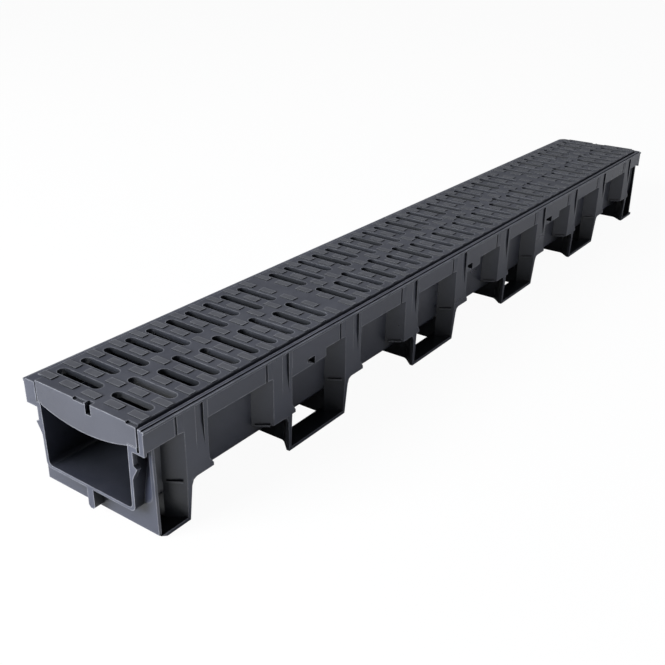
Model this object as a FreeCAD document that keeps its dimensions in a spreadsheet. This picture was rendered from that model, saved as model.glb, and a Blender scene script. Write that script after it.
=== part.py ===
"""Channel drain: one metre of moulded surface drain with its slotted grate.

The frame: +X runs along the drain, +Z is up, and the origin lies on the ground under the middle of the
drain.  The near end is at -X.  All sizes are millimetres and come from the spreadsheet "sizes".

Two pieces are made:
  channel_body   a U-shaped trough with rims, a ledge for the grate, corrugated sides, feet and end joints
  slotted_grate  a ribbed plate with staggered slots and tread nubs, which lies on the ledge
"""

import FreeCAD, Part
import math
import os
import Sketcher

Vector = FreeCAD.Vector

# ---------------------------------------------------------------------------------------------------------
# Driving sizes
# ---------------------------------------------------------------------------------------------------------

DRIVING_SIZES = {
    # whole drain
    "length": 1000.0,
    "width": 130.0,
    "rim_top": 97.6,
    # trough
    "trough_top": 95.0,
    "trough_foot": 93.0,
    "trough_wall": 3.0,
    "floor_top": 26.6,
    "floor_thick": 2.6,
    # rim and the ledge that carries the grate
    "ledge_top": 81.2,
    "ledge_thick": 2.4,
    "bead_wide": 5.5,
    "bead_deep": 3.6,
    "rim_wall": 2.8,
    "skirt_inset": 0.8,
    "step_wide": 1.6,
    "step_deep": 0.8,
    "groove_wide": 0.8,
    "groove_deep": 0.6,
    # feet and the columns beside them
    "pitch": 200.0,
    "column_face": 24.0,
    "column_root": 46.0,
    "column_wall": 2.4,
    "column_bottom": 36.0,
    "shelf_proud": 1.5,
    "shelf_margin": 2.0,
    "shelf_high": 1.6,
    "hook_long": 4.5,
    "hook_high": 9.0,
    "column_step": 4.0,
    "flute_wide": 8.0,
    "flute_deep": 1.5,
    "flute_foot": 53.0,
    "crease_wide": 2.2,
    "crease_from": 20.2,
    "fin_inside": 38.0,
    "fin_top": 5.5,
    "fin_ground": 2.5,
    "fin_flange": 3.2,
    "fin_draft": 1.6,
    "web_inside": 27.6,
    "web_thick": 2.5,
    "web_reach": 15.6,
    "gusset": 6.0,
    "sole_wide": 20.0,
    "sole_thick": 3.2,
    # ends
    "plate_thick": 2.5,
    "near_setback": 9.0,
    "far_setback": 5.0,
    "plate_draft": 1.0,
    "plate_inset": 3.5,
    "post_wide": 3.0,
    "post_curve": 9.3,
    "relief_high": 3.8,
    "relief_long": 7.0,
    "peg_wide": 7.0,
    "peg_bottom": 6.0,
    "socket_wide": 9.0,
    "flange_long": 2.5,
    "flange_deep": 2.6,
    "collar_long": 4.0,
    "collar_thick": 5.0,
    "lug_reach": 3.5,
    "stop_long": 10.0,
    "stop_wide": 13.5,
    "stop_bottom": 78.2,
    "gap_below": 0.8,
    # latch houses under the skirt
    "latch_deep": 8.8,
    "window_high": 7.6,
    "window_deep": 6.0,
    # grate
    "grate_width": 114.0,
    "grate_top": 99.2,
    "grate_gap": 0.5,
    "plate_deep": 5.0,
    "side_wall": 3.0,
    "end_wall": 4.0,
    "arch_half": 47.0,
    "arch_side": 79.6,
    "arch_rise": 7.4,
    "rib_thick": 3.0,
    "keel_thick": 3.0,
    "keel_bottom": 79.0,
    "columns_count": 44.0,
    "slot_wide": 9.4,
    "slot_outer": 50.5,
    "slot_long": 2.6,
    "slot_short": 10.4,
    "nub_long": 15.4,
    "nub_wide": 7.0,
    "nub_high": 0.8,
    "nub_rows": 24.5,
    "notch_wide": 5.5,
    "notch_deep": 9.0,
    "notch_from": 5.0,
    "dip_deep": 1.6,
    "dip_long": 2.5,
}

# Latch houses along the drain, from the near end: house start and end, window start and end
LATCH_PLACES = (
    (160.0, 210.0, 184.0, 194.0),
    (460.0, 492.0, 463.5, 474.5),
    (660.0, 705.0, 665.0, 682.0),
)


class Size:
    """A length that carries its sheet expression together with its value."""

    def __init__(self, text, value):
        self.text = text
        self.value = value

    def _join(self, other, sign, value):
        return Size(f"({self.text} {sign} {wrap(other).text})", value)

    def __add__(self, other):
        return self._join(other, "+", self.value + wrap(other).value)

    def __sub__(self, other):
        return self._join(other, "-", self.value - wrap(other).value)

    def __mul__(self, other):
        return self._join(other, "*", self.value * wrap(other).value)

    def __truediv__(self, other):
        return self._join(other, "/", self.value / wrap(other).value)

    def __neg__(self):
        return Size(f"(0 - {self.text})", -self.value)


def wrap(number):
    """A plain number as a Size, and a Size as itself."""
    return number if isinstance(number, Size) else Size(repr(float(number)), float(number))


class Sheet:
    """Every driving size as an attribute, each bound to its own cell."""

    def __init__(self, document, sizes):
        cells = document.addObject("Spreadsheet::Sheet", "sizes")
        for row, (name, value) in enumerate(sizes.items(), start=1):
            cells.set(f"A{row}", name)
            cells.set(f"B{row}", str(value))
            cells.setAlias(f"B{row}", name)
            setattr(self, name, Size(f"sizes.{name}", value))


doc = FreeCAD.newDocument("channel_drain")
size = Sheet(doc, DRIVING_SIZES)
doc.recompute()

# ---------------------------------------------------------------------------------------------------------
# Sketch and feature helpers
# ---------------------------------------------------------------------------------------------------------


def new_body(label):
    body = doc.addObject("PartDesign::Body", label)
    body.Label = label
    return body


def origin_feature(body, role):
    return next(item for item in body.Origin.OriginFeatures if item.Role == role)


def new_sketch(body, name, role, offset=0.0):
    """A sketch on one of the body's own origin planes, moved along that plane's normal by offset."""
    sketch = body.newObject("Sketcher::SketchObject", name)
    sketch.AttachmentSupport = (origin_feature(body, role), [""])
    sketch.MapMode = "FlatFace"
    shift = wrap(offset)
    sketch.AttachmentOffset = FreeCAD.Placement(Vector(0, 0, shift.value), FreeCAD.Rotation())
    sketch.setExpression("AttachmentOffset.Base.z", shift.text)
    return sketch


def pin(sketch, geometry, point, across, up):
    """Holds one point of the sketch at two sizes measured from the origin."""
    for kind, distance in (("DistanceX", across), ("DistanceY", up)):
        held = wrap(distance)
        number = sketch.addConstraint(Sketcher.Constraint(kind, -1, 1, geometry, point, held.value))
        sketch.setExpression(f"Constraints[{number}]", held.text)


def hold_radius(sketch, geometry, radius):
    held = wrap(radius)
    number = sketch.addConstraint(Sketcher.Constraint("Radius", geometry, held.value))
    sketch.setExpression(f"Constraints[{number}]", held.text)


def draw_polygon(sketch, points):
    """A closed line chain through points, each a pair of sizes measured from the origin."""
    points = [(wrap(across), wrap(up)) for across, up in points]
    places = [Vector(across.value, up.value, 0) for across, up in points]
    count = len(points)
    first = sketch.GeometryCount
    sketch.addGeometry([Part.LineSegment(places[index], places[(index + 1) % count]) for index in range(count)])
    joints = []
    for index in range(count):
        joints.append(Sketcher.Constraint("Coincident", first + index, 2, first + (index + 1) % count, 1))
    sketch.addConstraint(joints)
    start = sketch.ConstraintCount
    held = []
    for index, (across, up) in enumerate(points):
        held.append(Sketcher.Constraint("DistanceX", -1, 1, first + index, 1, across.value))
        held.append(Sketcher.Constraint("DistanceY", -1, 1, first + index, 1, up.value))
    sketch.addConstraint(held)
    for index, (across, up) in enumerate(points):
        sketch.setExpression(f"Constraints[{start + index * 2}]", across.text)
        sketch.setExpression(f"Constraints[{start + index * 2 + 1}]", up.text)


def draw_mirrored(sketch, half):
    """A closed chain symmetric about the sketch's vertical axis, from the points of its right half."""
    left = [(-wrap(across), up) for across, up in reversed(half)]
    draw_polygon(sketch, list(half) + left)


def draw_rectangle(sketch, left, bottom, right, top):
    draw_polygon(sketch, [(left, bottom), (right, bottom), (right, top), (left, top)])


def draw_slot(sketch, middle, start, end, wide):
    """A slot along the sketch's vertical axis, with each round end made as three flats."""
    radius = wrap(wide) / 2
    flat = radius * 0.42
    corner = radius * 0.62
    middle = wrap(middle)
    low = wrap(start)
    high = wrap(end)
    draw_polygon(sketch, [
        (middle - flat, low), (middle + flat, low), (middle + radius, low + corner),
        (middle + radius, high - corner), (middle + flat, high), (middle - flat, high),
        (middle - radius, high - corner), (middle - radius, low + corner),
    ])


def add_pad(body, name, sketch, length, middle=False, backwards=False):
    pad = body.newObject("PartDesign::Pad", name)
    pad.Refine = False
    pad.Profile = sketch
    held = wrap(length)
    pad.Length = held.value
    pad.setExpression("Length", held.text)
    pad.Midplane = middle
    pad.Reversed = backwards
    doc.recompute()
    return pad


def add_pocket(body, name, sketch, length, middle=False, backwards=False):
    """A pocket that must remove material, or the build stops."""
    before = body.Shape.Volume
    pocket = body.newObject("PartDesign::Pocket", name)
    pocket.Refine = False
    pocket.Profile = sketch
    held = wrap(length)
    pocket.Length = held.value
    pocket.setExpression("Length", held.text)
    pocket.Midplane = middle
    pocket.Reversed = backwards
    doc.recompute()
    if not body.Shape.Volume < before - 1e-3:
        raise RuntimeError(f"{name} cuts nothing")
    return pocket


def add_row(body, name, features, count, pitch, merge=False):
    """Repeats features along X, count times in all, at the given pitch.  merge joins faces in one plane."""
    row = body.newObject("PartDesign::LinearPattern", name)
    row.Refine = merge
    row.Originals = features
    row.Direction = (origin_feature(body, "X_Axis"), [""])
    row.Occurrences = count
    held = wrap(pitch) * (count - 1)
    row.Length = held.value
    row.setExpression("Length", held.text)
    body.Tip = row
    doc.recompute()
    return row


def add_fillet(body, name, radius, chosen):
    """Rounds the edges of the body's last shape for which chosen(middle point, edge) is true."""
    base = body.Tip
    names = []
    for number, edge in enumerate(base.Shape.Edges, start=1):
        if chosen(edge.CenterOfMass, edge):
            names.append(f"Edge{number}")
    fillet = body.newObject("PartDesign::Fillet", name)
    fillet.Base = (base, names)
    fillet.Radius = radius
    doc.recompute()
    return fillet


# ---------------------------------------------------------------------------------------------------------
# Sizes worked out from the driving ones
# ---------------------------------------------------------------------------------------------------------

half_length = size.length / 2
half_width = size.width / 2
ledge_bottom = size.ledge_top - size.ledge_thick
floor_bottom = size.floor_top - size.floor_thick
trough_outer_top = size.trough_top / 2 + size.trough_wall
trough_outer_foot = size.trough_foot / 2 + size.trough_wall
bead_inside = half_width - size.bead_wide
skirt_face = half_width - size.skirt_inset
bead_bottom = size.rim_top - size.bead_deep
column_top = bead_bottom + 0.6
half_pitch = size.pitch / 2
first_column = half_pitch / 2 - half_length
columns = 10
inner_feet = 4
slot_pitch = size.length / size.columns_count


# ---------------------------------------------------------------------------------------------------------
# Channel body
# ---------------------------------------------------------------------------------------------------------

def make_shell(body):
    """The solid outline of trough, ledge and rims, whose flow space is cut later."""
    sketch = new_sketch(body, "section_outline", "YZ_Plane")
    draw_mirrored(sketch, [
        (trough_outer_foot, floor_bottom),
        (trough_outer_top, ledge_bottom),
        (skirt_face, ledge_bottom),
        (skirt_face, bead_bottom),
        (half_width, bead_bottom + size.skirt_inset),
        (half_width, size.rim_top - size.step_deep),
        (half_width - size.step_wide, size.rim_top - size.step_deep),
        (half_width - size.step_wide, size.rim_top - size.step_deep - size.groove_deep),
        (half_width - size.step_wide - size.groove_wide, size.rim_top - size.step_deep - size.groove_deep),
        (half_width - size.step_wide - size.groove_wide, size.rim_top),
    ])
    add_pad(body, "section", sketch, size.length, middle=True)
    bottom = floor_bottom.value
    add_fillet(
        body, "trough_corners", 5.0,
        lambda middle, edge: abs(middle.z - bottom) < 0.1 and abs(abs(middle.y) - trough_outer_foot.value) < 0.1,
    )


def cut_flow_space(body):
    """The space that water runs in, with the room for the grate over it."""
    sketch = new_sketch(body, "flow_outline", "YZ_Plane")
    draw_mirrored(sketch, [
        (size.trough_foot / 2, size.floor_top),
        (size.trough_top / 2, size.ledge_top),
        (half_width - size.skirt_inset - size.rim_wall, size.ledge_top),
        (half_width - size.skirt_inset - size.rim_wall, bead_bottom),
        (bead_inside, bead_bottom + 1.0),
        (bead_inside, size.rim_top + 1.0),
    ])
    add_pocket(body, "flow_space", sketch, size.length + 2, middle=True)
    floor = size.floor_top.value
    add_fillet(
        body, "flow_corners", 4.0,
        lambda middle, edge: abs(middle.z - floor) < 0.1
        and abs(abs(middle.y) - size.trough_foot.value / 2) < 0.1
        and edge.Length > size.length.value * 0.9,
    )


def draw_column(sketch, side):
    """The plan of one hollow column: a trapezoid shell open towards the trough."""
    face = size.column_face / 2
    root = size.column_root / 2
    wall = size.column_wall
    back = trough_outer_top - size.trough_wall * 0.7
    meet = trough_outer_top - 0.5
    half = [
        (root - wall - 0.8, back),
        (root, back),
        (root, meet),
        (face, half_width),
    ]
    inside = [
        (face - wall / 1.5, half_width - wall),
        (root - wall - 0.8, back),
    ]
    right = [(first_column + along, across) for along, across in half]
    left = [(first_column - along, across) for along, across in reversed(half)]
    inner_left = (first_column - inside[0][0], inside[0][1])
    inner_right = (first_column + inside[0][0], inside[0][1])
    draw_polygon(sketch, [(along, wrap(across) * side) for along, across in right + left + [inner_left, inner_right]])


def draw_shelf(sketch, side, way):
    """The plan of the short shelf across one slanted face of a column, just over its bottom edge."""
    face = size.column_face / 2
    root = size.column_root / 2
    proud = size.shelf_proud
    margin = size.shelf_margin
    draw_polygon(sketch, [(first_column + along * way, wrap(across) * side) for along, across in [
        (face + margin - 1.0, half_width - margin - 0.8),
        (face + margin + proud, half_width - margin + 0.6),
        (root - margin + proud, trough_outer_top + margin + 0.6),
        (root - margin - 1.0, trough_outer_top + margin - 0.8),
    ]])


def add_hook(body, side):
    """The hook at the bottom of a column's +X corner, as thick as the column's wall."""
    label = "left" if side > 0 else "right"
    hook = first_column + size.column_face / 2
    sketch = new_sketch(body, f"{label}_hook_profile", "XZ_Plane", -(half_width - size.column_wall) * side)
    draw_polygon(sketch, [
        (hook - 1.5, size.column_bottom + size.hook_high),
        (hook, size.column_bottom + size.hook_high),
        (hook + size.hook_long, size.column_bottom + size.hook_high * 0.3),
        (hook + size.hook_long, size.column_bottom),
        (hook - 1.5, size.column_bottom),
    ])
    return add_pad(body, f"{label}_hook", sketch, size.column_wall, backwards=side > 0)


def make_columns(body):
    """Ten hollow columns a side, with shelves and a hook at the bottom, a raised face and a flute."""
    walls = new_sketch(body, "column_plan", "XY_Plane", size.column_bottom)
    shelves = new_sketch(body, "shelf_plan", "XY_Plane", size.column_bottom)
    faces = new_sketch(body, "column_face_plan", "XY_Plane", ledge_bottom)
    half = size.column_face / 2
    for side in (-1, 1):
        draw_column(walls, side)
        for way in (-1, 1):
            draw_shelf(shelves, side, way)
        draw_polygon(faces, [(across, wrap(up) * side) for across, up in [
            (first_column - half - size.column_step, skirt_face - 0.6),
            (first_column - half - size.column_step, skirt_face),
            (first_column - half, half_width),
            (first_column + half, half_width),
            (first_column + half + size.column_step / 2, skirt_face),
            (first_column + half + size.column_step / 2, skirt_face - 0.6),
        ]])
    pads = [
        add_pad(body, "column", walls, ledge_bottom - size.column_bottom + 0.5),
        add_pad(body, "column_shelf", shelves, size.shelf_high),
        add_pad(body, "column_face", faces, column_top - ledge_bottom),
        add_hook(body, -1),
        add_hook(body, 1),
    ]
    add_row(body, "column_row", pads, columns, half_pitch)

    flutes = new_sketch(body, "flute_profile", "YZ_Plane", first_column)
    creases = new_sketch(body, "crease_plan", "XY_Plane", ledge_bottom - 0.1)
    for side in (-1, 1):
        draw_polygon(flutes, [(wrap(across) * side, up) for across, up in [
            (half_width + 0.4, size.flute_foot),
            (half_width + 0.4, column_top),
            (half_width - size.flute_deep, column_top),
            (half_width - size.flute_deep, ledge_bottom),
        ]])
        draw_polygon(creases, [(across, wrap(up) * side) for across, up in [
            (first_column - size.crease_from, half_width),
            (first_column - size.crease_from, skirt_face - size.skirt_inset),
            (first_column - size.crease_from + size.crease_wide, skirt_face - size.skirt_inset),
            (first_column - size.crease_from + size.crease_wide, half_width),
        ]])
    flute = add_pocket(body, "flute", flutes, size.flute_wide, backwards=True)
    crease = add_pocket(body, "crease", creases, column_top - ledge_bottom + 0.1, backwards=True)
    add_row(body, "flute_row", [flute, crease], columns, half_pitch, merge=True)


def draw_fin(sketch, middle, way, thick, outer):
    """The plan of a fin from one side of the drain to the other, with a gusset edge at both ends.

    way is +1 for the fin on the +X side of its foot and -1 for the one on the -X side.  The fin crosses
    under the trough as a web and slants out to the column's corner at each side.
    """
    web = half_width - size.web_reach
    half = [
        (web, size.web_inside),
        (outer, size.fin_inside),
        (outer, size.fin_inside + thick),
        (outer - size.fin_flange, size.fin_inside + thick),
        (web - 0.8, size.web_inside + size.web_thick),
    ]
    there = [(middle + along * way, across) for across, along in half]
    back = [(middle + along * way, -wrap(across)) for across, along in reversed(half)]
    draw_polygon(sketch, there + back)


def loft_fin(body, name, middle, way):
    """One fin lofted from the ground to the column's foot, thinner and drawn in at the ground."""
    ground = new_sketch(body, f"{name}_ground", "XY_Plane")
    top = new_sketch(body, f"{name}_top", "XY_Plane", size.column_bottom + 1.0)
    draw_fin(ground, middle, way, size.fin_ground, half_width - size.fin_draft)
    draw_fin(top, middle, way, size.fin_top, half_width)
    loft = body.newObject("PartDesign::AdditiveLoft", name)
    loft.Refine = False
    loft.Profile = ground
    loft.Sections = [top]
    loft.Ruled = True
    doc.recompute()
    return loft


def make_fins(body):
    """The fins between the first two feet, with the gussets over them, repeated at the foot pitch."""
    foot = -half_length
    far_fin = loft_fin(body, "far_fin", foot, 1)
    near_fin = loft_fin(body, "near_fin", foot + size.pitch, -1)
    gussets = []
    for side in (-1, 1):
        label = "left" if side > 0 else "right"
        start = -(half_width - size.fin_flange) * side
        sketch = new_sketch(body, f"{label}_gusset_profile", "XZ_Plane", start)
        edge = size.fin_inside + size.fin_top - 0.5
        top = size.column_bottom + 1.0
        for middle, way in ((foot, 1), (foot + size.pitch, -1)):
            draw_polygon(sketch, [
                (middle + edge * way, top - size.gusset - 0.5),
                (middle + (edge + 0.5) * way, top - size.gusset),
                (middle + (edge + size.gusset * 0.3) * way, top - size.gusset * 0.45),
                (middle + (edge + size.gusset) * way, top - 1.0),
                (middle + (edge + size.gusset) * way, top),
                (middle + edge * way, top),
            ])
        gussets.append(add_pad(body, f"{label}_gusset", sketch, size.fin_flange - 0.3, backwards=side > 0))
    add_row(body, "fin_row", [far_fin, near_fin] + gussets, inner_feet + 1, size.pitch)


def draw_sole(sketch, side, start, end, start_web, end_web):
    """One side's sole plate between two fins or between a fin and an end plate."""
    outer = half_width - size.fin_draft
    inner = half_width - size.fin_draft - size.sole_wide
    draw_polygon(sketch, [(across, wrap(up) * side) for across, up in [
        (start, outer), (end, outer), (end_web, inner), (start_web, inner),
    ]])


def make_soles(body):
    """The flat plates that join the fins at the ground, with the window between them left open."""
    foot = size.pitch - half_length
    fin = size.fin_inside + 0.5
    web = size.web_inside + 0.5
    near = -half_length + size.near_setback + 0.5
    far = half_length
    inner = new_sketch(body, "sole_plan", "XY_Plane")
    ends = new_sketch(body, "end_sole_plan", "XY_Plane")
    for side in (-1, 1):
        draw_sole(inner, side, foot - fin, foot + fin, foot - web, foot + web)
        draw_sole(ends, side, near, fin - half_length, near, web - half_length)
        draw_sole(ends, side, half_length - fin, far, half_length - web, far)
    sole = add_pad(body, "sole", inner, size.sole_thick)
    add_row(body, "sole_row", [sole], inner_feet, size.pitch)
    add_pad(body, "end_soles", ends, size.sole_thick)


def draw_post_window(sketch, side):
    """The opening between an end post and the trough, round at its lower corner."""
    radius = size.post_curve
    right = (half_width - size.plate_inset - size.post_wide) * side
    left = (half_width - size.plate_inset - size.post_wide - radius) * side
    middle = floor_bottom + size.post_curve + 4.0
    corners = [(left, middle - radius), (left, ledge_bottom), (right, ledge_bottom), (right, middle)]
    places = [Vector(across.value, up.value, 0) for across, up in corners]
    first = sketch.GeometryCount
    for start, end in zip(places, places[1:]):
        sketch.addGeometry(Part.LineSegment(start, end))
    circle = Part.Circle(Vector(left.value, middle.value, 0), Vector(0, 0, 1), radius.value)
    start, end = (-math.pi / 2, 0) if side > 0 else (math.pi, 3 * math.pi / 2)
    arc = sketch.addGeometry(Part.ArcOfCircle(circle, start, end))
    low, high = (1, 2) if side > 0 else (2, 1)
    sketch.addConstraint(Sketcher.Constraint("Coincident", first, 2, first + 1, 1))
    sketch.addConstraint(Sketcher.Constraint("Coincident", first + 1, 2, first + 2, 1))
    sketch.addConstraint(Sketcher.Constraint("Coincident", first, 1, arc, low))
    sketch.addConstraint(Sketcher.Constraint("Coincident", first + 2, 2, arc, high))
    for index, (across, up) in enumerate(corners[:-1]):
        pin(sketch, first + index, 1, across, up)
    pin(sketch, first + 2, 2, *corners[-1])
    hold_radius(sketch, arc, radius)


def make_end_plate(body, name, position, socket):
    """An end plate under the trough with a post at each side.  socket leaves a notch for the next peg."""
    sketch = new_sketch(body, f"{name}_outline", "YZ_Plane", position)
    top = half_width - size.plate_inset
    ground = top + size.plate_draft
    notch = [(size.socket_wide / 2, floor_bottom), (size.socket_wide / 2, 0)] if socket else []
    draw_mirrored(sketch, notch + [(ground, 0), (top, ledge_bottom + 0.5)])
    for side in (-1, 1):
        draw_post_window(sketch, side)
    add_pad(body, name, sketch, size.plate_thick)


def make_ends(body):
    """End plates, the near end's peg and relief, and the collars round both mouths of the trough."""
    make_end_plate(body, "near_plate", size.near_setback - half_length, socket=False)
    make_end_plate(body, "far_plate", half_length - size.far_setback - size.plate_thick, socket=True)

    peg = new_sketch(body, "peg_outline", "YZ_Plane", -half_length)
    draw_slot(peg, 0, size.peg_bottom, size.floor_top, size.peg_wide)
    add_pad(body, "peg", peg, size.near_setback + 0.5)

    wall = size.trough_top / 2 - 0.5
    for name, position in (("near_collar", -half_length), ("far_collar", half_length - size.collar_long)):
        collar = new_sketch(body, f"{name}_outline", "YZ_Plane", position)
        for side in (-1, 1):
            outer = wall + size.collar_thick
            draw_polygon(collar, [(wrap(across) * side, up) for across, up in [
                (wall, ledge_bottom),
                (outer, ledge_bottom),
                (outer, ledge_bottom - 14.0),
                (outer + size.lug_reach, ledge_bottom - 16.0),
                (outer - 0.5, ledge_bottom - 23.0),
                (wall + size.trough_wall - 0.2, ledge_bottom - 27.0),
            ]])
        add_pad(body, name, collar, size.collar_long)
    for name, position in (("near_flange", -half_length), ("far_flange", half_length - size.flange_long)):
        flange = new_sketch(body, f"{name}_outline", "YZ_Plane", position)
        for side in (-1, 1):
            ends = sorted([wrap(wall) * side, skirt_face * side], key=lambda item: item.value)
            draw_rectangle(flange, ends[0], ledge_bottom - size.flange_deep, ends[1], ledge_bottom + 0.5)
        add_pad(body, name, flange, size.flange_long)


def make_corner_stops(body):
    """A block in one rim corner of each end, which keeps the grate in, and a cheek in the other."""
    gap = new_sketch(body, "gap_plan", "XY_Plane", ledge_bottom - size.gap_below)
    stops = new_sketch(body, "stop_plan", "XY_Plane", size.stop_bottom)
    inside = half_width - size.stop_wide
    flat = half_width - size.step_wide - size.groove_wide
    near = -half_length
    long = size.stop_long
    draw_rectangle(stops, near, inside, near + long, flat)
    draw_rectangle(stops, half_length - long, -flat, half_length, -inside)
    draw_rectangle(stops, near, -flat, near + size.flange_long, -bead_inside)
    draw_rectangle(stops, half_length - size.flange_long, bead_inside, half_length, flat)
    add_pad(body, "corner_stops", stops, size.rim_top - size.stop_bottom)
    gap_inside = size.grate_width / 2
    draw_rectangle(gap, near - 1, -bead_inside, near + size.flange_long, -gap_inside)
    draw_rectangle(gap, half_length - size.flange_long, gap_inside, half_length + 1, bead_inside)
    add_pocket(body, "joint_gaps", gap, size.ledge_thick + size.gap_below + 1, backwards=True)


def cut_near_relief(body):
    """The near foot's sole starts off the ground, with a slope down to it."""
    relief = new_sketch(body, "relief_profile", "XZ_Plane")
    start = size.near_setback - half_length
    draw_polygon(relief, [
        (start - 1, -1.0), (start + size.relief_long, -1.0), (start + size.relief_long, 0),
        (start, size.relief_high), (start - 1, size.relief_high),
    ])
    add_pocket(body, "relief", relief, size.width + 2, middle=True)


def make_latches(body):
    """Latch houses a side under the skirt, flush with it, each with a window and a fine line below it."""
    back = trough_outer_foot
    reach = skirt_face - back
    bottom = ledge_bottom - size.latch_deep
    for side in (-1, 1):
        label = "left" if side > 0 else "right"
        houses = new_sketch(body, f"{label}_latch_outline", "XZ_Plane", -back * side)
        windows = new_sketch(body, f"{label}_window_outline", "XZ_Plane", -(skirt_face + 1) * side)
        for start, end, window_start, window_end in LATCH_PLACES:
            left = wrap(start) - half_length
            right = wrap(end) - half_length
            draw_polygon(houses, [
                (left, ledge_bottom + 0.5), (left, bottom), (right, bottom + 1.0), (right, ledge_bottom + 0.5),
            ])
            near = wrap(window_start) - half_length
            far = wrap(window_end) - half_length
            high = ledge_bottom - 1.0
            draw_polygon(windows, [
                (near, high - size.window_high * 0.3), (far, high - size.window_high), (far, high), (near, high),
            ])
        add_pad(body, f"{label}_latches", houses, reach, backwards=side > 0)
        add_pocket(body, f"{label}_windows", windows, size.window_deep + 1, backwards=side > 0)


def make_channel_body():
    body = new_body("channel_body")
    make_shell(body)
    make_ends(body)
    make_latches(body)
    make_fins(body)
    make_soles(body)
    cut_near_relief(body)
    cut_flow_space(body)
    make_corner_stops(body)
    make_columns(body)
    return body


# ---------------------------------------------------------------------------------------------------------
# Slotted grate
# ---------------------------------------------------------------------------------------------------------

half_grate = size.grate_width / 2
grate_end = half_length - size.grate_gap
plate_bottom = size.grate_top - size.plate_deep


def make_tray(body):
    """The plate with its side walls, open below."""
    sketch = new_sketch(body, "tray_section", "YZ_Plane")
    inside = half_grate - size.side_wall
    draw_mirrored(sketch, [
        (inside, plate_bottom),
        (inside, size.ledge_top),
        (half_grate, size.ledge_top),
        (half_grate, size.grate_top - 0.5),
        (half_grate - 0.5, size.grate_top),
    ])
    add_pad(body, "tray", sketch, grate_end * 2, middle=True)


def draw_arch(sketch):
    """A cross wall's outline: straight on top, seated on the ledge, and bowed down between the walls."""
    half = size.arch_half
    rise = size.arch_rise
    radius = (half * half + rise * rise) / (rise * 2)
    centre = size.arch_side - rise + radius
    shoulder = half_grate - 0.5
    chain = [
        (half, size.arch_side), (half, size.ledge_top), (shoulder, size.ledge_top),
        (shoulder, plate_bottom + 1.0), (-shoulder, plate_bottom + 1.0), (-shoulder, size.ledge_top),
        (-half, size.ledge_top), (-half, size.arch_side),
    ]
    places = [Vector(wrap(across).value, wrap(up).value, 0) for across, up in chain]
    first = sketch.GeometryCount
    for start, end in zip(places, places[1:]):
        sketch.addGeometry(Part.LineSegment(start, end))
    spread = math.asin(half.value / radius.value)
    circle = Part.Circle(Vector(0, centre.value, 0), Vector(0, 0, 1), radius.value)
    arc = sketch.addGeometry(Part.ArcOfCircle(circle, -math.pi / 2 - spread, -math.pi / 2 + spread))
    last = first + len(chain) - 2
    for index in range(first, last):
        sketch.addConstraint(Sketcher.Constraint("Coincident", index, 2, index + 1, 1))
    for index, (across, up) in enumerate(chain[:-1]):
        pin(sketch, first + index, 1, across, up)
    pin(sketch, last, 2, *chain[-1])
    sketch.addConstraint(Sketcher.Constraint("Coincident", last, 2, arc, 1))
    sketch.addConstraint(Sketcher.Constraint("Coincident", arc, 2, first, 1))
    hold_radius(sketch, arc, radius)


def make_cross_walls(body):
    """Arched walls at both ends and under each pair of slots, and one keel along the middle."""
    for name, position in (("near_end_wall", -grate_end), ("far_end_wall", grate_end - size.end_wall)):
        sketch = new_sketch(body, f"{name}_outline", "YZ_Plane", position)
        draw_arch(sketch)
        add_pad(body, name, sketch, size.end_wall)
    rib = new_sketch(body, "rib_outline", "YZ_Plane", slot_pitch * 2.5 - half_length - size.rib_thick / 2)
    draw_arch(rib)
    ribs = add_pad(body, "rib", rib, size.rib_thick)
    add_row(body, "rib_row", [ribs], 14, slot_pitch * 3)


def cut_slot_columns(body, name, columns_cut, right_inner, left_inner):
    """One cut through the plate for the slot pairs of the given columns."""
    sketch = new_sketch(body, f"{name}_plan", "XY_Plane", size.grate_top + 1)
    for column in columns_cut:
        middle = slot_pitch * column - half_length
        draw_slot(sketch, middle, -size.slot_outer, -right_inner, size.slot_wide)
        draw_slot(sketch, middle, left_inner, size.slot_outer, size.slot_wide)
    return add_pocket(body, name, sketch, size.plate_deep + 2)


def make_slots(body):
    """Cross slots in two halves, long and short by turns, so that the bar between them zigzags.

    Two columns are left out for solid cross bars, and the slots beside them and in the middle are equal.
    """
    even = (size.slot_long + size.slot_short) / 2
    first = cut_slot_columns(body, "odd_slots", (1, 13, 23, 35), size.slot_short, size.slot_long)
    add_row(body, "odd_slot_row", [first], 5, slot_pitch * 2)
    second = cut_slot_columns(body, "even_slots", (2, 14, 24, 36), size.slot_long, size.slot_short)
    add_row(body, "even_slot_row", [second], 4, slot_pitch * 2)
    cut_slot_columns(body, "equal_slots", (10, 12, 22, 32, 34), even, even)


def make_nubs(body):
    """Five rows of low tread nubs, one at each bar between two slots."""
    sketch = new_sketch(body, "nub_plan", "XY_Plane", size.grate_top - 0.2)
    middle = slot_pitch / 2 - half_length
    for row in (-2, -1, 0, 1, 2):
        across = size.nub_rows * row
        draw_rectangle(
            sketch,
            middle - size.nub_wide / 2, across - size.nub_long / 2,
            middle + size.nub_wide / 2, across + size.nub_long / 2,
        )
    nubs = add_pad(body, "nubs", sketch, size.nub_high + 0.2)
    add_row(body, "nub_row", [nubs], int(size.columns_count.value), slot_pitch, merge=True)


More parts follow.
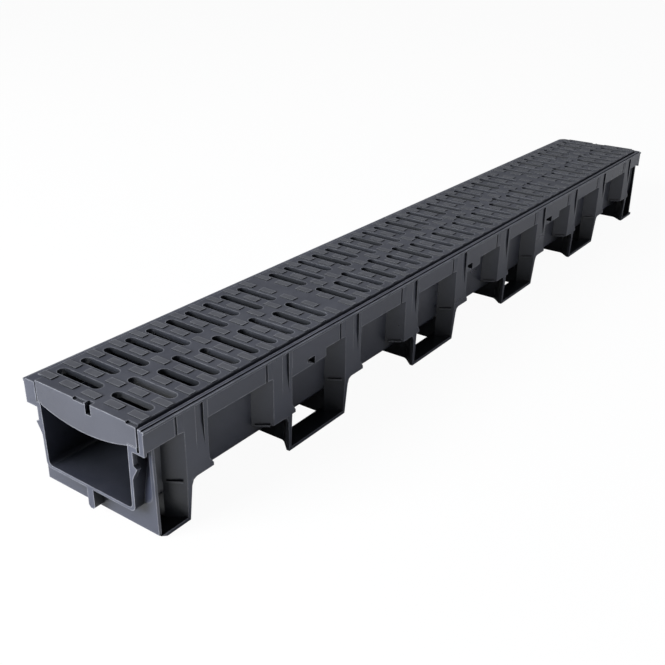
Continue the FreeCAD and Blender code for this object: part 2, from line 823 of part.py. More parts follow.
def cut_end_details(body):
    """The finger notch and the two dips in each end's top edge, and the corner left for the rim's stop."""
    notch = new_sketch(body, "notch_plan", "XY_Plane", size.grate_top + 1)
    dips = new_sketch(body, "dip_plan", "XY_Plane", size.grate_top + 1)
    corners = new_sketch(body, "corner_plan", "XY_Plane", size.grate_top + 1)
    for way in (-1, 1):
        edge = grate_end * way
        notch_near = size.notch_from * way
        notch_far = (size.notch_from + size.notch_wide) * way
        inner = (grate_end - size.end_wall - 0.5) * way
        draw_polygon(notch, [(edge + way, notch_near), (inner, notch_near), (inner, notch_far), (edge + way, notch_far)])
        dip = (grate_end - size.dip_long) * way
        for start, end in ((-8.0, 4.0), (47.5, 58.0)):
            draw_polygon(dips, [
                (edge + way, wrap(start) * way), (dip, wrap(start) * way),
                (dip, wrap(end) * way), (edge + way, wrap(end) * way),
            ])
        stop = (half_length - size.stop_long - size.grate_gap) * way
        side = -(half_width - size.stop_wide - size.grate_gap) * way
        draw_polygon(corners, [
            (edge + way, side), (stop, side), (stop, -(half_grate + 1) * way), (edge + way, -(half_grate + 1) * way),
        ])
    add_pocket(body, "notch", notch, size.notch_deep + 1)
    add_pocket(body, "dips", dips, size.dip_deep + 1)
    add_pocket(body, "stop_corners", corners, size.grate_top)


def make_slotted_grate():
    body = new_body("slotted_grate")
    make_tray(body)
    make_cross_walls(body)
    cut_end_details(body)
    make_slots(body)
    make_nubs(body)
    return body


# ---------------------------------------------------------------------------------------------------------
# Build, check and write
# ---------------------------------------------------------------------------------------------------------

def check(parts):
    doc.recompute()
    failed = [item.Name for item in doc.Objects if {"Invalid", "Error"} & set(item.State)]
    if failed:
        raise RuntimeError(f"failed objects: {failed}")
    for part in parts:
        if part.Shape.isNull() or not part.Shape.isValid():
            raise RuntimeError(f"{part.Label} has no valid shape")


def write(parts):
    os.makedirs("parts", exist_ok=True)
    for part in parts:
        part.Shape.exportStep(os.path.join("parts", f"{part.Label}.step"))


pieces = [make_channel_body(), make_slotted_grate()]
check(pieces)
write(pieces)
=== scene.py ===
"""Looks for one length of channel drain: a moulded channel body and the slotted grate that lies in it.

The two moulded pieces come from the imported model.  This script softens their edges, rounds the grate's slots,
closes the pockets behind the end posts, gives each piece its own procedural plastic, lays the drain on a pale
floor, lights it and sets the camera.
"""

import logging
import math
from dataclasses import dataclass
from enum import Enum
from typing import Callable

import bmesh
import bpy
from mathutils import Matrix, Vector


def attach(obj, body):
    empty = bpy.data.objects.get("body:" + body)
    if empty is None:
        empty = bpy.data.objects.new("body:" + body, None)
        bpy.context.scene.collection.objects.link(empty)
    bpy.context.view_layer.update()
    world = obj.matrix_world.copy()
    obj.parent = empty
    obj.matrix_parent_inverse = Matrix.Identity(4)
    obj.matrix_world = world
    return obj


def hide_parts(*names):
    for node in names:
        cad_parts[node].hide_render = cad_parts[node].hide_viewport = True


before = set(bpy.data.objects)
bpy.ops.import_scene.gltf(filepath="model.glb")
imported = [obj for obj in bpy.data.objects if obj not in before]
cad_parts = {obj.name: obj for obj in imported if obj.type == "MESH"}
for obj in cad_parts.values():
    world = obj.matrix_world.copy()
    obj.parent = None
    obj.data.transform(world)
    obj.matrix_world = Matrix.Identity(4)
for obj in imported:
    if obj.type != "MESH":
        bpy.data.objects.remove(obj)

LOG = logging.getLogger("channel_drain")
MILLIMETRE = 0.001
WELD = 0.002  # corners nearer than this, in millimetres, are one corner
BODY = "root"
WHITE = (1.0, 1.0, 1.0, 1.0)

Colour = tuple[float, float, float, float]
Place = tuple[float, float, float]
Quad = tuple[int, int, int, int]


class Node(Enum):
    """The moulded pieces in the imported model."""

    CHANNEL = "channel_body"
    GRATE = "slotted_grate"


class Shader(str, Enum):
    """Blender's names for the shader nodes that the finishes use."""

    PRINCIPLED = "ShaderNodeBsdfPrincipled"
    OUTPUT = "ShaderNodeOutputMaterial"
    COORDINATES = "ShaderNodeTexCoord"
    GEOMETRY = "ShaderNodeNewGeometry"
    MAPPING = "ShaderNodeMapping"
    NOISE = "ShaderNodeTexNoise"
    BEVEL = "ShaderNodeBevel"
    OCCLUSION = "ShaderNodeAmbientOcclusion"
    DIRECTION = "ShaderNodeVectorMath"
    RANGE = "ShaderNodeMapRange"
    MATHS = "ShaderNodeMath"
    MIX = "ShaderNodeMix"
    BUMP = "ShaderNodeBump"
    SEPARATE = "ShaderNodeSeparateXYZ"
    LIGHT_PATH = "ShaderNodeLightPath"
    BACKGROUND = "ShaderNodeBackground"
    WORLD_OUTPUT = "ShaderNodeOutputWorld"
    EMISSION = "ShaderNodeEmission"
    MIX_SHADER = "ShaderNodeMixShader"


class Wiring:
    """A thin wrapper that places and joins nodes in one node tree."""

    def __init__(self, tree: bpy.types.NodeTree) -> None:
        """Starts with no nodes placed.

        Args:
            tree: the node tree that new nodes go into.
        """
        self.tree = tree
        self.column = 0

    def add(self, kind: Shader, **settings: object) -> bpy.types.Node:
        """Adds one node and sets its plain properties.

        Args:
            kind: which shader node to add.
            **settings: the node's properties by name.

        Returns:
            The new node.
        """
        node = self.tree.nodes.new(kind.value)
        node.location = (self.column * 180.0, 0.0)
        self.column += 1
        for name, value in settings.items():
            setattr(node, name, value)
        return node

    def join(self, source: bpy.types.NodeSocket, target: bpy.types.NodeSocket) -> None:
        """Links source to target."""
        self.tree.links.new(source, target)

    def maths(self, operation: str, left: object, right: object, clamp: bool = False) -> bpy.types.NodeSocket:
        """One arithmetic node.

        Args:
            operation: Blender's name for the operation.
            left: a socket or a number.
            right: a socket or a number.
            clamp: whether the result is held between 0 and 1.

        Returns:
            The result's socket.
        """
        node = self.add(Shader.MATHS, operation=operation, use_clamp=clamp)
        for socket, value in zip(node.inputs, (left, right)):
            if isinstance(value, bpy.types.NodeSocket):
                self.join(value, socket)
            else:
                socket.default_value = value
        return node.outputs[0]

    def remap(self, value: bpy.types.NodeSocket, low: float, high: float, new_low: float,
              new_high: float) -> bpy.types.NodeSocket:
        """Maps one range onto another, held at the ends.

        Args:
            value: the socket to map.
            low: the value that becomes new_low.
            high: the value that becomes new_high.
            new_low: the result at low.
            new_high: the result at high.

        Returns:
            The result's socket.
        """
        node = self.add(Shader.RANGE)
        self.join(value, node.inputs["Value"])
        node.inputs["From Min"].default_value = low
        node.inputs["From Max"].default_value = high
        node.inputs["To Min"].default_value = new_low
        node.inputs["To Max"].default_value = new_high
        return node.outputs["Result"]

    def noise(self, vector: bpy.types.NodeSocket, scale: object, detail: float = 4.0,
              roughness: float = 0.55) -> bpy.types.NodeSocket:
        """A noise texture's grey value.

        Args:
            vector: where the texture is read.
            scale: a number or a socket.
            detail: how many finer layers are added.
            roughness: how strong the finer layers are.

        Returns:
            The grey value's socket.
        """
        node = self.add(Shader.NOISE)
        self.join(vector, node.inputs["Vector"])
        if isinstance(scale, bpy.types.NodeSocket):
            self.join(scale, node.inputs["Scale"])
        else:
            node.inputs["Scale"].default_value = scale
        node.inputs["Detail"].default_value = detail
        node.inputs["Roughness"].default_value = roughness
        return node.outputs["Fac"]

    def blend(self, factor: bpy.types.NodeSocket, first: object, second: object) -> bpy.types.NodeSocket:
        """A mix of two colours.

        Args:
            factor: 0 for first and 1 for second.
            first: a colour or a colour socket.
            second: a colour or a colour socket.

        Returns:
            The mixed colour's socket.
        """
        node = self.add(Shader.MIX, data_type="RGBA")
        self.join(factor, node.inputs[0])
        for socket, value in ((node.inputs[6], first), (node.inputs[7], second)):
            if isinstance(value, bpy.types.NodeSocket):
                self.join(value, socket)
            else:
                socket.default_value = value
        return node.outputs[2]

    def effect(self, group: bpy.types.NodeTree, **values: object) -> bpy.types.Node:
        """Places a shared effect group.

        Args:
            group: the group's node tree.
            **values: its inputs by name, each a number or a socket.

        Returns:
            The group node.
        """
        node = self.tree.nodes.new("ShaderNodeGroup")
        node.node_tree = group
        node.location = (self.column * 180.0, -300.0)
        self.column += 1
        for name, value in values.items():
            socket = node.inputs[name.replace("_", " ")]
            if isinstance(value, bpy.types.NodeSocket):
                self.join(value, socket)
            else:
                socket.default_value = value
        return node


class Effects:
    """The effects that both plastics share, each a node group built once.

    A mask is 1 where its effect is strongest and 0 where there is none, apart from the painted recess shade's
    output, which is 1 in the open and 0 deep inside.
    """

    def __init__(self) -> None:
        """Builds every group."""
        self.grain = self._moulded_grain()
        self.dust = self._settled_dust()
        self.scuff = self._handling_scuffs()
        self.flow = self._flow_marks()
        self.recess = self._recess_painted_shade()
        self.edges = self._edge_highlight_and_wear()

    @staticmethod
    def _group(name: str, inputs: dict[str, float], outputs: dict[str, str]) -> tuple[
            bpy.types.NodeTree, bpy.types.Node, bpy.types.Node, Wiring]:
        """Makes an empty group with a Vector input.

        Args:
            name: the group's name.
            inputs: its number inputs, with their usual values.
            outputs: its outputs, with their socket types.

        Returns:
            The group, its input node, its output node and its wiring.
        """
        tree = bpy.data.node_groups.new(name, "ShaderNodeTree")
        tree.interface.new_socket("Vector", in_out="INPUT", socket_type="NodeSocketVector")
        for label, value in inputs.items():
            socket = tree.interface.new_socket(label, in_out="INPUT", socket_type="NodeSocketFloat")
            socket.default_value = value
        for label, kind in outputs.items():
            tree.interface.new_socket(label, in_out="OUTPUT", socket_type=kind)
        entry = tree.nodes.new("NodeGroupInput")
        leave = tree.nodes.new("NodeGroupOutput")
        return tree, entry, leave, Wiring(tree)

    def _moulded_grain(self) -> bpy.types.NodeTree:
        """The fine grain that a textured mould leaves on plastic.

        Returns:
            The group.
        """
        tree, entry, leave, wires = self._group(
            "moulded_grain", {"Grain": 2600.0, "Orange Peel": 240.0}, {"Height": "NodeSocketFloat"})
        fine = wires.noise(entry.outputs["Vector"], entry.outputs["Grain"], 3.0, 0.6)
        peel = wires.noise(entry.outputs["Vector"], entry.outputs["Orange Peel"], 2.0, 0.5)
        height = wires.maths("ADD", wires.maths("MULTIPLY", fine, 0.6), wires.maths("MULTIPLY", peel, 0.8))
        wires.join(height, leave.inputs["Height"])
        return tree

    def _settled_dust(self) -> bpy.types.NodeTree:
        """Pale dust that settles on faces that look up.

        Returns:
            The group.
        """
        tree, entry, leave, wires = self._group(
            "settled_dust", {"Patch Scale": 38.0, "Amount": 0.5}, {"Mask": "NodeSocketFloat"})
        geometry = wires.add(Shader.GEOMETRY)
        parts = wires.add(Shader.SEPARATE)
        wires.join(geometry.outputs["Normal"], parts.inputs[0])
        upward = wires.remap(parts.outputs["Z"], 0.2, 0.95, 0.0, 1.0)
        patches = wires.noise(entry.outputs["Vector"], entry.outputs["Patch Scale"], 6.0, 0.62)
        speckle = wires.noise(entry.outputs["Vector"], 1900.0, 2.0, 0.6)
        cover = wires.maths("MULTIPLY", wires.remap(patches, 0.38, 0.72, 0.15, 1.0),
                            wires.remap(speckle, 0.36, 0.68, 0.3, 1.0))
        mask = wires.maths("MULTIPLY", wires.maths("MULTIPLY", cover, upward), entry.outputs["Amount"], True)
        wires.join(mask, leave.inputs["Mask"])
        return tree

    def _handling_scuffs(self) -> bpy.types.NodeTree:
        """Short pale rub marks from stacking and handling.

        Returns:
            The group.
        """
        tree, entry, leave, wires = self._group(
            "handling_scuffs", {"Stretch": 9.0, "Amount": 0.4}, {"Mask": "NodeSocketFloat"})
        spread = wires.add(Shader.MAPPING)
        wires.join(entry.outputs["Vector"], spread.inputs["Vector"])
        spread.inputs["Scale"].default_value = (1.0, 7.0, 5.0)
        spread.inputs["Rotation"].default_value = (0.3, 0.2, 0.5)
        lines = wires.noise(spread.outputs[0], 62.0, 7.0, 0.7)
        where = wires.noise(entry.outputs["Vector"], entry.outputs["Stretch"], 2.0, 0.5)
        mask = wires.maths("MULTIPLY", wires.remap(lines, 0.60, 0.74, 0.0, 1.0),
                           wires.remap(where, 0.46, 0.62, 0.0, 1.0))
        wires.join(wires.maths("MULTIPLY", mask, entry.outputs["Amount"], True), leave.inputs["Mask"])
        return tree

    def _recess_painted_shade(self) -> bpy.types.NodeTree:
        """Painted shade that darkens the colour where a surface is closed in, 1 in the open and 0 deep inside.

        Returns:
            The group.
        """
        tree, entry, leave, wires = self._group(
            "recess_painted_shade", {"Reach": 0.08, "Closed": 0.2, "Open": 0.6}, {"Unshaded": "NodeSocketFloat"})
        shelter = wires.add(Shader.OCCLUSION, samples=8)
        wires.join(entry.outputs["Reach"], shelter.inputs["Distance"])
        unshaded = wires.add(Shader.RANGE, clamp=True)
        wires.join(shelter.outputs["AO"], unshaded.inputs["Value"])
        wires.join(entry.outputs["Closed"], unshaded.inputs["From Min"])
        wires.join(entry.outputs["Open"], unshaded.inputs["From Max"])
        alone = wires.add(Shader.OCCLUSION, samples=8, only_local=True)
        wires.join(entry.outputs["Reach"], alone.inputs["Distance"])
        outside = wires.remap(alone.outputs["AO"], 0.78, 0.98, 0.0, 1.0)
        wires.join(wires.maths("MAXIMUM", unshaded.outputs["Result"], outside), leave.inputs["Unshaded"])
        return tree

    def _edge_highlight_and_wear(self) -> bpy.types.NodeTree:
        """Edges that stand out, painted pale: a painted highlight where rounded edges catch the light, with
        some handling wear.

        Returns:
            The group.
        """
        tree, entry, leave, wires = self._group(
            "edge_highlight_and_wear", {"Radius": 0.001, "Amount": 0.6}, {"Mask": "NodeSocketFloat"})
        rounded = wires.add(Shader.BEVEL, samples=6)
        wires.join(entry.outputs["Radius"], rounded.inputs["Radius"])
        flat = wires.add(Shader.GEOMETRY)
        turn = wires.add(Shader.DIRECTION, operation="DOT_PRODUCT")
        wires.join(rounded.outputs["Normal"], turn.inputs[0])
        wires.join(flat.outputs["True Normal"], turn.inputs[1])
        bend = wires.remap(turn.outputs["Value"], 0.995, 0.90, 0.0, 1.0)
        shelter = wires.add(Shader.OCCLUSION, samples=6, only_local=True)
        shelter.inputs["Distance"].default_value = 3.0 * MILLIMETRE
        outward = wires.remap(shelter.outputs["AO"], 0.80, 0.97, 0.0, 1.0)
        breaks = wires.remap(wires.noise(entry.outputs["Vector"], 90.0, 4.0, 0.6), 0.30, 0.62, 0.35, 1.0)
        mask = wires.maths("MULTIPLY", wires.maths("MULTIPLY", bend, outward), breaks)
        wires.join(wires.maths("MULTIPLY", mask, entry.outputs["Amount"], True), leave.inputs["Mask"])
        return tree

    def _flow_marks(self) -> bpy.types.NodeTree:
        """Broad, faint streaks where the melt ran along the mould.

        Returns:
            The group.
        """
        tree, entry, leave, wires = self._group(
            "flow_marks", {"Length Scale": 6.0}, {"Mask": "NodeSocketFloat"})
        spread = wires.add(Shader.MAPPING)
        wires.join(entry.outputs["Vector"], spread.inputs["Vector"])
        spread.inputs["Scale"].default_value = (1.0, 2.4, 4.0)
        streaks = wires.noise(spread.outputs[0], entry.outputs["Length Scale"], 5.0, 0.55)
        wires.join(wires.remap(streaks, 0.3, 0.7, 0.0, 1.0), leave.inputs["Mask"])
        return tree


@dataclass(frozen=True)
class MouldedPlastic:
    """An anthracite moulded plastic: grain, drift in tone, dust, rub marks, edges painted pale as a highlight
    with some wear, and painted shade in its recesses.

    Lengths are in metres.  Where worn_sheen_from is set, whatever stands higher than that is painted paler, as
    wear with a painted sheen.
    """

    name: str
    deep: Colour
    pale: Colour
    dust: Colour
    roughness_low: float
    roughness_high: float
    grain: float
    grain_depth: float
    dust_amount: float
    scuff_amount: float
    # painted highlight with some wear: the pale colour, its strength and its width for edges that stand out
    edge: Colour = (0.26, 0.265, 0.29, 1.0)
    edge_amount: float = 0.7
    edge_width: float = 0.0016
    # painted shade: the near-black colour, and the occlusion reach and limits that blend it in where the
    # surface is closed in
    painted_shade: Colour = (0.006, 0.007, 0.009, 1.0)
    painted_shade_reach: float = 0.08
    painted_shade_closed: float = 0.47
    painted_shade_open: float = 0.86
    specular: float = 0.5
    # wear with a painted sheen: whatever stands above this height is blended towards the paler colour below
    worn_sheen_from: float = 0.0
    worn_sheen: Colour = (0.060, 0.062, 0.070, 1.0)

    def build(self, effects: Effects) -> bpy.types.Material:
        """Builds the material.

        Args:
            effects: the shared effect groups.

        Returns:
            The finished material.
        """
        material = bpy.data.materials.new(self.name)
        material.use_nodes = True
        material.diffuse_color = self.pale
        tree = material.node_tree
        tree.nodes.clear()
        wires = Wiring(tree)
        place = wires.add(Shader.COORDINATES).outputs["Object"]
        flow = wires.effect(effects.flow, Vector=place)
        grain = wires.effect(effects.grain, Vector=place, Grain=self.grain)
        dust = wires.effect(effects.dust, Vector=place, Amount=self.dust_amount)
        scuff = wires.effect(effects.scuff, Vector=place, Amount=self.scuff_amount)
        recess = wires.effect(
            effects.recess, Reach=self.painted_shade_reach, Closed=self.painted_shade_closed, Open=self.painted_shade_open)
        edges = wires.effect(effects.edges, Vector=place, Radius=self.edge_width, Amount=self.edge_amount)

        plastic = wires.blend(flow.outputs["Mask"], self.deep, self.pale)
        if self.worn_sheen_from:
            # wear with a painted sheen: raised tops are blended paler
            plastic = wires.blend(self._raised(wires, place), plastic, self.worn_sheen)
        rubbed = wires.blend(scuff.outputs["Mask"], plastic, self.dust)
        coated = wires.blend(dust.outputs["Mask"], rubbed, self.dust)
        # painted highlight with some wear: edges that stand out are blended towards the pale edge colour
        rimmed = wires.blend(edges.outputs["Mask"], coated, self.edge)
        # painted shade: near-black is blended in where the surface is closed in
        shade_painted = wires.blend(recess.outputs["Unshaded"], self.painted_shade, rimmed)

        drift = wires.remap(flow.outputs["Mask"], 0.0, 1.0, self.roughness_low, self.roughness_high)
        worn = wires.maths("ADD", drift, wires.maths("MULTIPLY", dust.outputs["Mask"], 0.3))
        rough = wires.maths("ADD", worn, wires.maths("MULTIPLY", scuff.outputs["Mask"], 0.2), True)

        bump = wires.add(Shader.BUMP)
        bump.inputs["Strength"].default_value = 0.35
        bump.inputs["Distance"].default_value = self.grain_depth
        wires.join(grain.outputs["Height"], bump.inputs["Height"])

        shader = wires.add(Shader.PRINCIPLED)
        shader.inputs["Specular IOR Level"].default_value = self.specular
        wires.join(shade_painted, shader.inputs["Base Color"])
        wires.join(rough, shader.inputs["Roughness"])
        wires.join(bump.outputs["Normal"], shader.inputs["Normal"])
        wires.join(shader.outputs[0], wires.add(Shader.OUTPUT).inputs["Surface"])
        return material

    def _raised(self, wires: Wiring, place: bpy.types.NodeSocket) -> bpy.types.NodeSocket:
        """A patchy mask of whatever stands higher than worn_sheen_from.

        Args:
            wires: the material's wiring.
            place: the surface point.

        Returns:
            The mask's socket.
        """
        parts = wires.add(Shader.SEPARATE)
        wires.join(place, parts.inputs[0])
        fully = self.worn_sheen_from + 0.3 * MILLIMETRE
        high = wires.remap(parts.outputs["Z"], self.worn_sheen_from, fully, 0.0, 1.0)
        patches = wires.remap(wires.noise(place, 150.0), 0.3, 0.7, 0.35, 1.0)
        return wires.maths("MULTIPLY", high, patches)


CHANNEL_PLASTIC = MouldedPlastic(
    name="channel_plastic",
    deep=(0.024, 0.027, 0.041, 1.0),
    pale=(0.038, 0.042, 0.062, 1.0),
    dust=(0.20, 0.20, 0.22, 1.0),
    roughness_low=0.26,
    roughness_high=0.38,
    grain=2200.0,
    grain_depth=0.00010,
    dust_amount=0.18,
    scuff_amount=0.22,
)

GRATE_PLASTIC = MouldedPlastic(
    name="grate_plastic",
    deep=(0.026, 0.028, 0.039, 1.0),
    pale=(0.040, 0.043, 0.057, 1.0),
    dust=(0.19, 0.195, 0.215, 1.0),
    roughness_low=0.36,
    roughness_high=0.48,
    grain=2800.0,
    grain_depth=0.00016,
    dust_amount=0.22,
    scuff_amount=0.12,
    worn_sheen_from=0.0997,
)


@dataclass
class MouldedPiece:
    """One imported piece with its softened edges, in millimetres, and its finish."""

    node: Node
    finish: MouldedPlastic
    edge_radius: float = 0.35
    edge_angle: float = 35.0

    def dress(self, effects: Effects) -> bpy.types.Object:
        """Softens the piece's edges and gives it its material.

        Args:
            effects: the shared effect groups.

        Returns:
            The dressed object.
        """
        piece = self.shape()
        piece.data.materials.clear()
        piece.data.materials.append(self.finish.build(effects))
        self.soften(piece)
        LOG.info("%s dressed in %s", piece.name, self.finish.name)
        return piece

    def shape(self) -> bpy.types.Object:
        """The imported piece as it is."""
        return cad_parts[self.node.value]

    def soften(self, piece: bpy.types.Object) -> None:
        """Adds a small radius to every sharp edge, as a mould leaves it.

        Args:
            piece: the object to soften.
        """
        weld = piece.modifiers.new("joined_corners", "WELD")
        weld.merge_threshold = WELD * MILLIMETRE
        soft = piece.modifiers.new("moulded_edges", "BEVEL")
        soft.width = self.edge_radius * MILLIMETRE
        soft.segments = 2
        soft.limit_method = "ANGLE"
        soft.angle_limit = math.radians(self.edge_angle)
        soft.use_clamp_overlap = True
        soft.harden_normals = False
        smooth = piece.modifiers.new("even_shading", "WEIGHTED_NORMAL")
        smooth.keep_sharp = True
        for face in piece.data.polygons:
            face.use_smooth = True


@dataclass
class GratePiece(MouldedPiece):
    """The grate with round slot ends and rolled slot rims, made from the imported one.

    Sizes are in millimetres.
    """

    name: str = "slotted_grate_moulded"
    slot_reach_x: float = 489.0
    slot_reach_y: float = 51.5
    plate_top: float = 99.2
    end_radius: float = 1.4
    end_segments: int = 2
    rim_radius: float = 1.1
    rim_segments: int = 3

    def shape(self) -> bpy.types.Object:
        """Builds the rounded grate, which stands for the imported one.

        Returns:
            The new object.
        """
        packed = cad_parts[self.node.value]
        mesh = packed.data.copy()
        mesh.name = self.name
        self._round_slots(mesh)
        piece = bpy.data.objects.new(self.name, mesh)
        bpy.context.collection.objects.link(piece)
        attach(piece, BODY)
        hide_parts(self.node.value)
        return piece

    def _inside(self, point: Vector) -> bool:
        """Whether a point lies in the slotted field."""
        return abs(point.x) < self.slot_reach_x * MILLIMETRE and abs(point.y) < self.slot_reach_y * MILLIMETRE

    def _round_slots(self, mesh: bpy.types.Mesh) -> None:
        """Rounds the slots' ends first and then rolls their rims.

        Args:
            mesh: the grate's mesh, changed in place.
        """
        work = bmesh.new()
        work.from_mesh(mesh)
        bmesh.ops.remove_doubles(work, verts=work.verts, dist=WELD * MILLIMETRE)
        bmesh.ops.dissolve_limit(
            work, angle_limit=math.radians(1.0), verts=work.verts, edges=work.edges,
            use_dissolve_boundaries=False)
        self._bevel(work, self._is_slot_corner, self.end_radius, self.end_segments)
        self._bevel(work, self._is_slot_rim, self.rim_radius, self.rim_segments)
        work.to_mesh(mesh)
        work.free()

    def _bevel(self, work: bmesh.types.BMesh, chosen: Callable[[bmesh.types.BMEdge], bool], radius: float,
               segments: int) -> None:
        """Bevels every edge that chosen picks.

        Args:
            work: the mesh being worked on.
            chosen: tells whether an edge is wanted.
            radius: the bevel's offset in millimetres.
            segments: how many faces make up the bevel.
        """
        work.normal_update()
        wanted = [edge for edge in work.edges if len(edge.link_faces) == 2 and chosen(edge)]
        LOG.info("%s: %d edges rounded by %.1f mm", self.node.value, len(wanted), radius)
        bmesh.ops.bevel(
            work, geom=wanted, offset=radius * MILLIMETRE, offset_type="OFFSET", segments=segments,
            profile=0.5, affect="EDGES", clamp_overlap=True)

    def _is_slot_corner(self, edge: bmesh.types.BMEdge) -> bool:
        """Tells the edges that stand upright between two flats of a slot's end.

        Args:
            edge: the edge to test.

        Returns:
            Whether it is one of them.
        """
        low, high = (vertex.co for vertex in edge.verts)
        if not self._inside((low + high) / 2):
            return False
        upright = abs(low.z - high.z) > 3.0 * MILLIMETRE and (low.xy - high.xy).length < 0.1 * MILLIMETRE
        return upright and edge.calc_face_angle(0.0) > math.radians(20.0)

    def _is_slot_rim(self, edge: bmesh.types.BMEdge) -> bool:
        """Tells the edges that run round a slot's mouth on the plate's top.

        Args:
            edge: the edge to test.

        Returns:
            Whether it is one of them.
        """
        top = self.plate_top * MILLIMETRE
        middle = (edge.verts[0].co + edge.verts[1].co) / 2
        if abs(middle.z - top) > 0.05 * MILLIMETRE or not self._inside(middle):
            return False
        flat = [face for face in edge.link_faces if face.normal.z > 0.95]
        walls = [face for face in edge.link_faces if abs(face.normal.z) < 0.2]
        return len(flat) == 1 and len(walls) == 1 and walls[0].calc_center_median().z < top - 0.5 * MILLIMETRE


@dataclass
class PostPockets:
    """The dished walls that close the pockets between the trough and the four end posts.

    Sizes and places are in millimetres.  The channel is dressed first, because the walls share its plastic.
    """

    finish_from: Node = Node.CHANNEL
    name: str = "post_pocket_walls"
    near_plate: float = -490.9
    far_plate: float = 494.9
    depth: float = 7.0
    trough_side: float = 49.6
    post_side: float = 59.4
    lowest: float = 26.6
    highest: float = 79.2
    dished_share: float = 0.9
    across_steps: int = 14
    up_steps: int = 28
    wall: float = 1.6

    def build(self) -> bpy.types.Object:
        """Builds the four walls as one moulded skin in the channel's plastic.

        Returns:
            The new object.
        """
        places: list[Vector] = []
        faces: list[Quad] = []
        for plate, inward in ((self.near_plate, 1.0), (self.far_plate, -1.0)):
            for side in (-1.0, 1.0):
                self._add_wall(places, faces, plate, inward, side)
        mesh = bpy.data.meshes.new(self.name)
        mesh.from_pydata(places, [], faces)
        mesh.update()
        piece = bpy.data.objects.new(self.name, mesh)
        bpy.context.collection.objects.link(piece)
        for face in mesh.polygons:
            face.use_smooth = True
        mesh.materials.append(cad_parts[self.finish_from.value].data.materials[0])
        skin = piece.modifiers.new("wall", "SOLIDIFY")
        skin.thickness = self.wall * MILLIMETRE
        skin.offset = -1.0
        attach(piece, BODY)
        LOG.info("%s closed behind the end posts", piece.name)
        return piece

    @staticmethod
    def _ease(share: float) -> float:
        """A share from 0 to 1 that leaves and arrives level."""
        return share * share * (3.0 - 2.0 * share)

    def _add_wall(self, places: list[Vector], faces: list[Quad], plate: float, inward: float,
                  side: float) -> None:
        """Adds one dished wall, deepest beside the trough and under the rim.

        Args:
            places: the corner points so far, added to.
            faces: the faces so far, added to.
            plate: where the end plate's outer face is.
            inward: which way the drain's middle lies.
            side: which side of the drain the wall is on.
        """
        first = len(places)
        for up in range(self.up_steps + 1):
            rise = up / self.up_steps
            lift = self._ease(min(rise / self.dished_share, 1.0))
            for across in range(self.across_steps + 1):
                share = across / self.across_steps
                bow = self._ease(1.0 - share)
                places.append(Vector((
                    plate + inward * self.depth * bow * lift,
                    side * (self.trough_side + (self.post_side - self.trough_side) * share),
                    self.lowest + (self.highest - self.lowest) * rise,
                )) * MILLIMETRE)
        row = self.across_steps + 1
        for up in range(self.up_steps):
            for across in range(self.across_steps):
                low = first + up * row + across
                loop = (low, low + 1, low + row + 1, low + row)
                faces.append(loop if side * inward < 0 else loop[::-1])


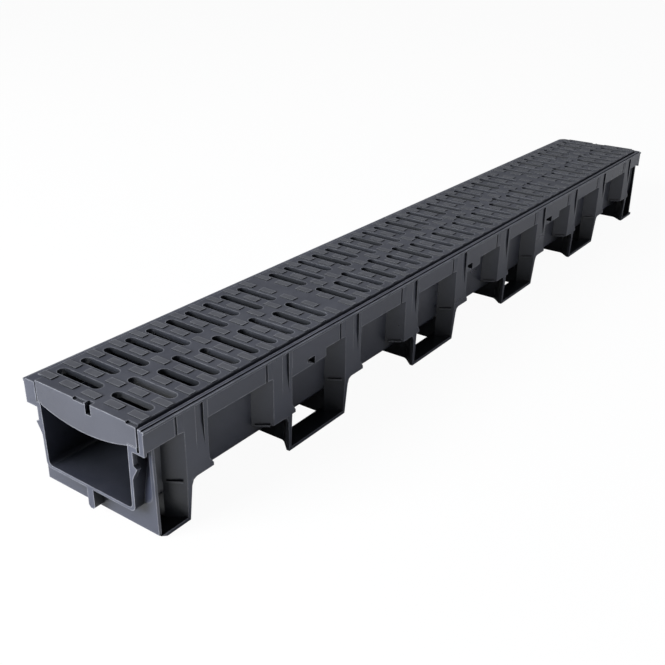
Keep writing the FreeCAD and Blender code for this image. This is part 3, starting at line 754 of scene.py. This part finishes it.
@dataclass
class Studio:
    """The pale floor, the soft lights and the camera, in metres and degrees."""

    floor_side: float = 14.0
    floor_drop: float = 0.0002
    floor_colour: Colour = (0.86, 0.86, 0.86, 1.0)
    floor_glow: float = 0.95
    lens: float = 48.58
    camera_place: Place = (-0.84675, -0.47163, 0.41829)
    azimuth: float = 54.23
    elevation: float = 25.22
    roll: float = 0.81
    fill_colour: Colour = (0.93, 0.95, 1.0, 1.0)
    fill_strength: float = 0.27

    def build(self) -> None:
        """Builds the floor, the lights, the world and the camera."""
        self._floor()
        self._lamp("key", (-2.7, 1.0, 1.15), (1.6, 1.2), 190.0, (0.95, 0.97, 1.0))
        self._lamp("overhead", (0.5, 0.9, 2.6), (3.0, 2.0), 10.0, (1.0, 0.99, 0.97))
        self._lamp("side_fill", (1.0, -2.8, 0.8), (3.0, 1.4), 4.0, (0.86, 0.88, 1.0))
        self._world()
        self._camera()
        bpy.context.scene.view_settings.view_transform = "Standard"

    def _floor(self) -> None:
        """A flat pale floor just under the feet, which the camera sees nearly white."""
        half = self.floor_side / 2
        mesh = bpy.data.meshes.new("floor")
        around = ((-half, -half), (half, -half), (half, half), (-half, half))
        places = [(along, across, -self.floor_drop) for along, across in around]
        mesh.from_pydata(places, [], [(0, 1, 2, 3)])
        floor = bpy.data.objects.new("floor", mesh)
        bpy.context.collection.objects.link(floor)
        material = bpy.data.materials.new("pale_floor")
        material.use_nodes = True
        tree = material.node_tree
        tree.nodes.clear()
        wires = Wiring(tree)
        shader = wires.add(Shader.PRINCIPLED)
        shader.inputs["Base Color"].default_value = self.floor_colour
        shader.inputs["Roughness"].default_value = 0.9
        shader.inputs["Specular IOR Level"].default_value = 0.1
        glow = wires.add(Shader.EMISSION)
        glow.inputs["Color"].default_value = WHITE
        path = wires.add(Shader.LIGHT_PATH)
        share = wires.maths("MULTIPLY", path.outputs["Is Camera Ray"], self.floor_glow)
        pick = wires.add(Shader.MIX_SHADER)
        wires.join(share, pick.inputs[0])
        wires.join(shader.outputs[0], pick.inputs[1])
        wires.join(glow.outputs[0], pick.inputs[2])
        wires.join(pick.outputs[0], wires.add(Shader.OUTPUT).inputs["Surface"])
        mesh.materials.append(material)

    def _lamp(self, name: str, place: Place, spread: tuple[float, float], power: float,
              colour: tuple[float, float, float]) -> None:
        """Hangs one rectangular soft light, aimed at the drain's middle.

        Args:
            name: the light's name.
            place: where it hangs.
            spread: its width and height.
            power: its power in watts.
            colour: its red, green and blue.
        """
        lamp = bpy.data.lights.new(name, "AREA")
        lamp.shape = "RECTANGLE"
        lamp.size, lamp.size_y = spread
        lamp.energy = power
        lamp.color = colour
        holder = bpy.data.objects.new(name, lamp)
        holder.location = place
        towards = Vector((0.0, 0.0, 0.05)) - Vector(place)
        holder.rotation_euler = towards.to_track_quat("-Z", "Y").to_euler()
        bpy.context.collection.objects.link(holder)

    def _world(self) -> None:
        """Even light all round, and plain white where the camera sees past the floor."""
        world = bpy.data.worlds.new("studio")
        bpy.context.scene.world = world
        world.use_nodes = True
        tree = world.node_tree
        tree.nodes.clear()
        wires = Wiring(tree)
        path = wires.add(Shader.LIGHT_PATH)
        fill = wires.add(Shader.BACKGROUND)
        fill.inputs["Color"].default_value = self.fill_colour
        fill.inputs["Strength"].default_value = self.fill_strength
        shown = wires.add(Shader.BACKGROUND)
        shown.inputs["Strength"].default_value = 1.0
        shown.inputs["Color"].default_value = WHITE
        pick = wires.add(Shader.MIX_SHADER)
        wires.join(path.outputs["Is Camera Ray"], pick.inputs[0])
        wires.join(fill.outputs[0], pick.inputs[1])
        wires.join(shown.outputs[0], pick.inputs[2])
        wires.join(pick.outputs[0], wires.add(Shader.WORLD_OUTPUT).inputs["Surface"])

    def _camera(self) -> None:
        """The camera, set by its place, the way it looks and its roll."""
        azimuth = math.radians(self.azimuth)
        elevation = math.radians(self.elevation)
        roll = math.radians(self.roll)
        ahead = Vector((math.sin(azimuth) * math.cos(elevation), math.cos(azimuth) * math.cos(elevation),
                        -math.sin(elevation)))
        right = Vector((math.cos(azimuth), -math.sin(azimuth), 0.0))
        up = right.cross(ahead)
        level_right = right * math.cos(roll) + up * math.sin(roll)
        level_up = up * math.cos(roll) - right * math.sin(roll)
        turn = Matrix((level_right, level_up, -ahead)).transposed()
        lens = bpy.data.cameras.new("camera")
        lens.lens = self.lens
        lens.sensor_width = 36.0
        lens.clip_start = 0.01
        lens.clip_end = 60.0
        camera = bpy.data.objects.new("camera", lens)
        camera.matrix_world = Matrix.Translation(Vector(self.camera_place)) @ turn.to_4x4()
        bpy.context.collection.objects.link(camera)
        bpy.context.scene.camera = camera


def main() -> None:
    """Dresses the drain and sets the studio."""
    logging.basicConfig(level=logging.INFO, format="%(name)s: %(message)s")
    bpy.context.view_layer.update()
    effects = Effects()
    MouldedPiece(Node.CHANNEL, CHANNEL_PLASTIC, edge_radius=0.35).dress(effects)
    GratePiece(Node.GRATE, GRATE_PLASTIC, edge_radius=0.3).dress(effects)
    PostPockets().build()
    Studio().build()


if __name__ == "__main__":
    main()
